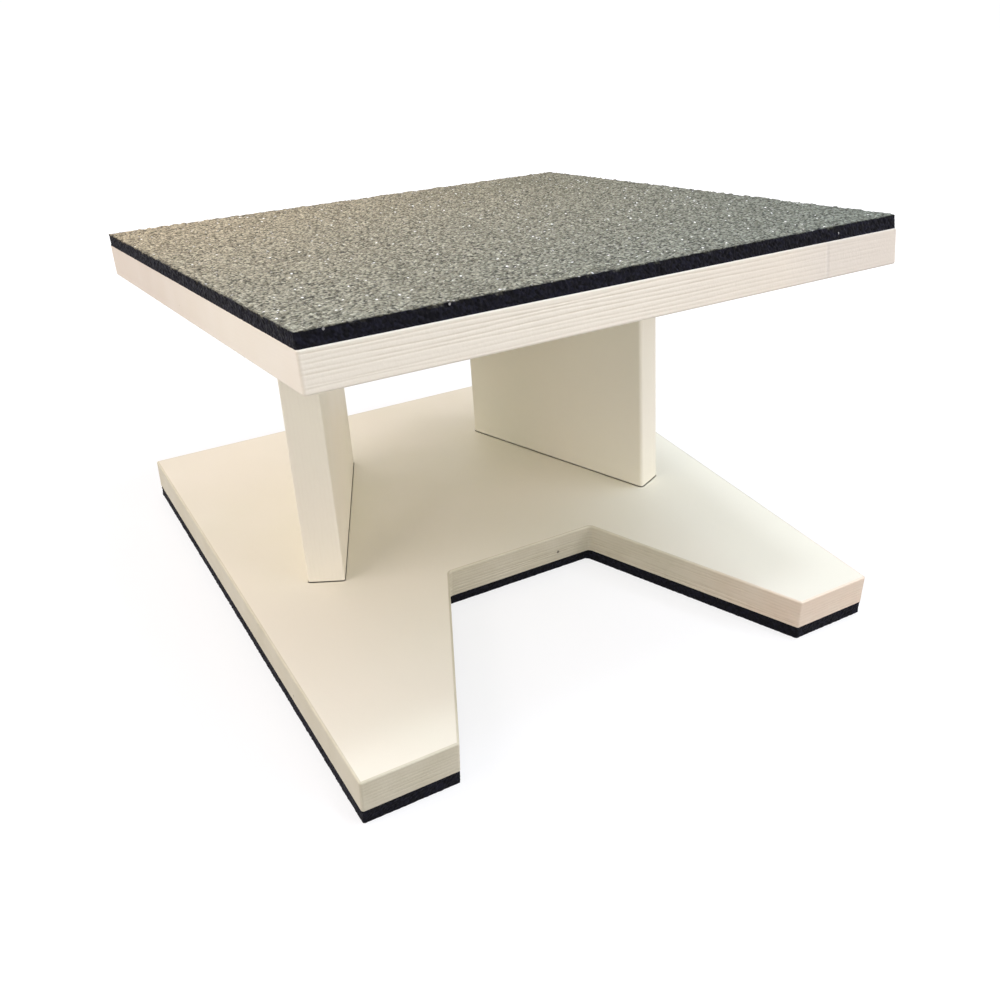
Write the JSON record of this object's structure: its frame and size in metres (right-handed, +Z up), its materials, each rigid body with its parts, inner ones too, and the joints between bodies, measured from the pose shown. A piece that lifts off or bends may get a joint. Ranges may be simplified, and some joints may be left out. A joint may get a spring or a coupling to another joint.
{
  "type": "desktop loudspeaker stand",
  "caption": "Low painted board stand for a desk loudspeaker: a tilted top with a crumb-rubber mat on splayed, leaning uprights over a base with a cut-out front.",
  "frame": {"origin": "middle of the base's underside, on the surface that the stand is put on", "axes": "+X to the right seen from the cut-out front, +Y to the back, +Z up"},
  "size_m": [0.28, 0.3166, 0.2077],
  "materials": {
    "painted_board": "plywood under cream-white satin paint, ply lines showing through on the edges",
    "crumb_rubber": "matte black rubber crumb, coarse and slightly ragged",
    "zinc_steel": "zinc plated",
    "beech": "bare beech"
  },
  "bodies": {
    "root": {"base_plate": "painted_board", "base_pad": "crumb_rubber", "left_upright": "painted_board", "right_upright": "painted_board", "top_plate": "painted_board", "top_pad": "crumb_rubber", "base_screw_left_front": "zinc_steel", "base_screw_left_rear": "zinc_steel", "base_screw_right_front": "zinc_steel", "base_screw_right_rear": "zinc_steel", "top_screw_left_front": "zinc_steel", "top_screw_left_rear": "zinc_steel", "top_screw_right_front": "zinc_steel", "top_screw_right_rear": "zinc_steel", "base_dowel_left_front": "beech", "base_dowel_left_rear": "beech", "base_dowel_right_front": "beech", "base_dowel_right_rear": "beech", "top_dowel_left_front": "beech", "top_dowel_left_rear": "beech", "top_dowel_right_front": "beech", "top_dowel_right_rear": "beech"}
  },
  "joints": []
}
